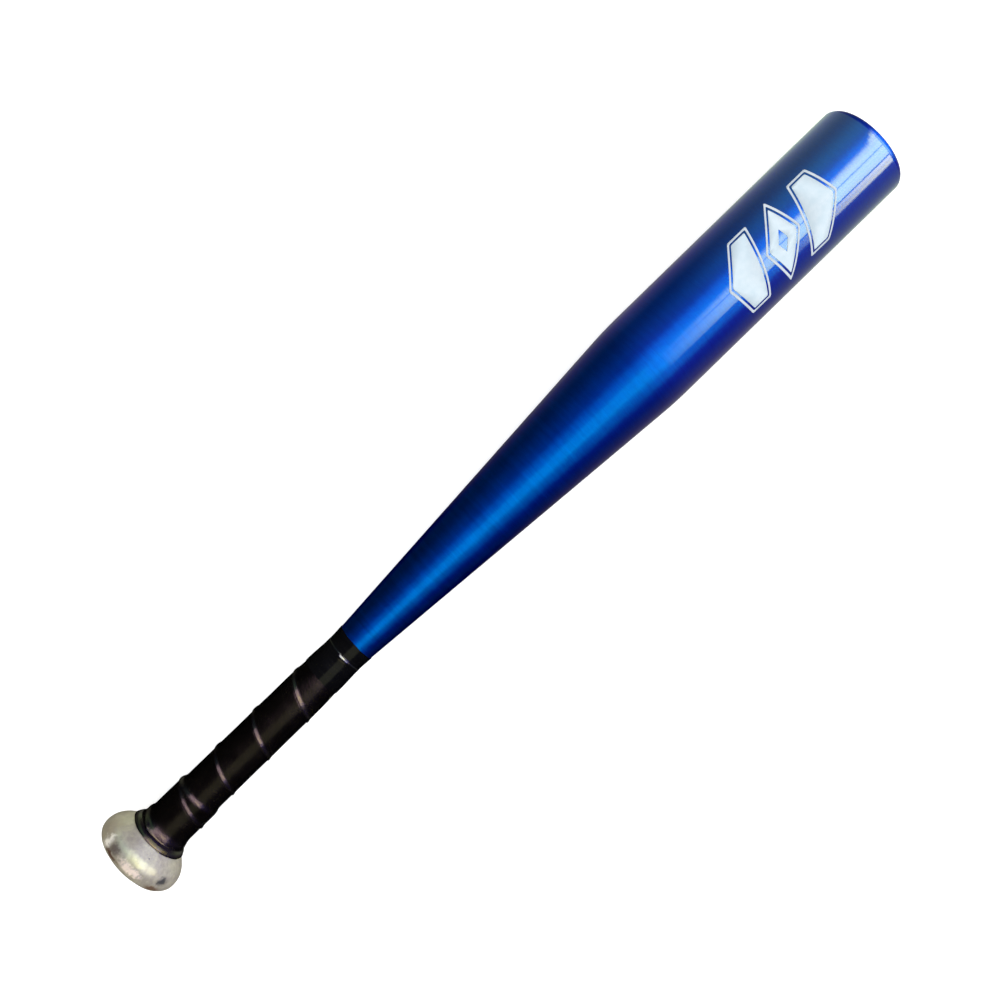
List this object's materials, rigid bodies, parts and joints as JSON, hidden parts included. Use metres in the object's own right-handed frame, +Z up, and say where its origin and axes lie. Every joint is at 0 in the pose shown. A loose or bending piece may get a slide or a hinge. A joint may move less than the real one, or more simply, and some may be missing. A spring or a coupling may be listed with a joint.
{
  "type": "baseball bat",
  "caption": "Short aluminium baseball bat with blue tapered barrel, black spiral-wrapped grip and round cast knob.",
  "frame": {"origin": "under the middle of the bat's length, on the plane its barrel lies on", "axes": "+X along the bat's axis from the knob to the barrel end, +Z up, with the printed marks on top; +Y to the left when looking along +X"},
  "size_m": [0.54, 0.0538, 0.0539],
  "materials": {
    "blue_aluminium": "brushed aluminium under clear blue lacquer, glossy",
    "cap_rubber": "matt moulded rubber",
    "polished_casting": "hand-polished casting, satin to bright",
    "weld_metal": "ground weld",
    "grip_leather": "satin synthetic leather",
    "vinyl_tape": "semi-gloss vinyl tape",
    "white_ink": "screen-printed ink under clear lacquer"
  },
  "bodies": {
    "root": {"barrel_tube": "blue_aluminium", "end_cap": "cap_rubber", "knob": "polished_casting", "weld_bead": "weld_metal", "grip_start_band": "grip_leather", "grip_wrap": "grip_leather", "finishing_tape": "vinyl_tape", "print_left": "white_ink", "print_middle": "white_ink", "print_right": "white_ink"}
  },
  "joints": []
}
